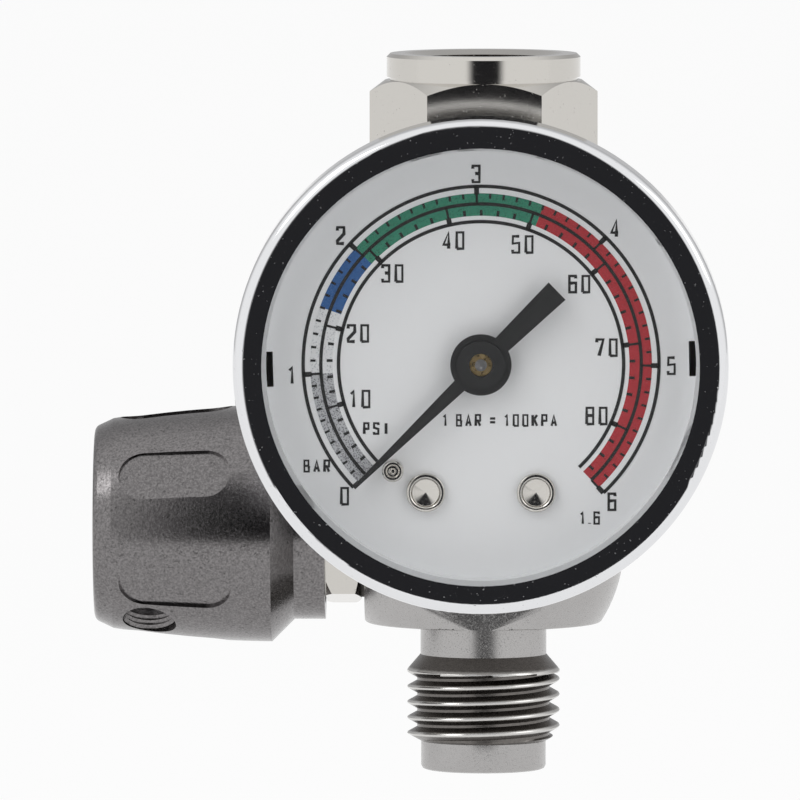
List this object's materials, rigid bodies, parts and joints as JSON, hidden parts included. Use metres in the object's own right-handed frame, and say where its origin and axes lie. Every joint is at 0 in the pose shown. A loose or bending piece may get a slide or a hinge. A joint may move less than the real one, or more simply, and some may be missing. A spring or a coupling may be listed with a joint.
{
  "type": "air pressure regulator",
  "caption": "In-line air pressure regulator: ball-shaped body, male inlet thread, swivel outlet nut, side adjusting knob and a round dial gauge.",
  "frame": {"origin": "on the flow axis, at the upper end of the inlet thread, as far as a hose fitting screws on", "axes": "+Z along the flow axis towards the outlet nut, -Y out of the gauge's face, -X out of the adjusting knob"},
  "size_m": [0.0545, 0.0401, 0.0619],
  "materials": {
    "satin_nickel": "satin nickel plate on brass",
    "bright_nickel": "polished nickel plate",
    "chrome": "polished chrome plate",
    "gunmetal": "bead-blasted dark anodised",
    "brass": "machined",
    "steel": "machined",
    "spring_steel": "drawn wire",
    "rubber": "moulded",
    "clear_lens": "clear moulded disc",
    "dial_white": "printed white enamel",
    "black_paint": "matt black paint",
    "copper": "annealed",
    "fibre": "pressed fibre"
  },
  "bodies": {
    "body": {"regulator_body": "satin_nickel", "valve_seat": "brass", "poppet_spring": "spring_steel", "bonnet": "bright_nickel", "bonnet_seal": "fibre", "main_spring": "spring_steel", "outlet_tail": "bright_nickel", "tail_seal": "copper", "nut_seal": "rubber", "gauge_seal": "fibre", "gauge_socket": "brass", "gauge_case": "chrome", "bezel": "chrome", "lens": "clear_lens", "lens_gasket": "rubber", "dial": "dial_white", "dial_screws": "bright_nickel", "stop_pin": "bright_nickel", "bourdon_tube": "copper", "bourdon_tip": "brass", "movement_back_plate": "brass", "movement_front_plate": "brass", "movement_pillars": "brass", "movement_screws": "steel", "hairspring": "copper"},
    "knob": {"adjusting_knob": "gunmetal", "adjusting_screw": "steel", "set_screw": "steel"},
    "button": {"spring_button": "steel"},
    "piston": {"piston": "brass", "piston_seal": "rubber"},
    "poppet": {"poppet": "brass", "poppet_seal": "rubber"},
    "nut": {"swivel_nut": "bright_nickel"},
    "pointer": {"pointer": "black_paint", "pointer_bush": "brass", "pinion_arbor": "steel"},
    "sector": {"sector_gear": "brass", "sector_arbor": "steel"},
    "link": {"link": "brass"}
  },
  "joints": [
    {"name": "adjust_travel", "type": "slide", "parent": "body", "child": "button", "axis": [1, 0, 0], "range_m": [-0.004, 0], "deforming": ["main_spring"]},
    {"name": "knob_turn", "type": "hinge", "parent": "button", "child": "knob", "pos_m": [0, 0, 0.01185], "axis": [1, 0, 0], "range_deg": [-1440, 0]},
    {"name": "piston_slide", "type": "slide", "parent": "body", "child": "piston", "axis": [1, 0, 0], "range_m": [-0.001, 0], "stiffness_N_per_m": 1500, "springref_m": 0.002},
    {"name": "poppet_slide", "type": "slide", "parent": "body", "child": "poppet", "axis": [1, 0, 0], "range_m": [-0.001, 0], "deforming": ["poppet_spring"]},
    {"name": "nut_swivel", "type": "hinge", "parent": "body", "child": "nut", "pos_m": [0, 0, 0.045], "axis": [0, 0, 1], "continuous": true},
    {"name": "pointer_turn", "type": "hinge", "parent": "body", "child": "pointer", "pos_m": [0, -0.024, 0.0271], "axis": [0, 1, 0], "range_deg": [0, 270], "stiffness_Nm_per_rad": 0.00002, "springref_deg": -17.19, "deforming": ["hairspring"]},
    {"name": "sector_turn", "type": "hinge", "parent": "body", "child": "sector", "pos_m": [0.00519, -0.019, 0.02101], "axis": [0, 1, 0], "range_deg": [-39, 0], "deforming": ["bourdon_tube", "bourdon_tip"]},
    {"name": "link_swing", "type": "hinge", "parent": "sector", "child": "link", "pos_m": [0.00749, -0.0195, 0.0183], "axis": [0, 1, 0], "range_deg": [0, 39]}
  ],
  "couplings": [
    {"joint": "knob_turn", "follows": "adjust_travel", "rad_per_m": 6283.2},
    {"joint": "poppet_slide", "follows": "piston_slide", "ratio": 1},
    {"joint": "sector_turn", "follows": "pointer_turn", "ratio": -0.14286},
    {"joint": "link_swing", "follows": "pointer_turn", "ratio": 0.14286}
  ]
}
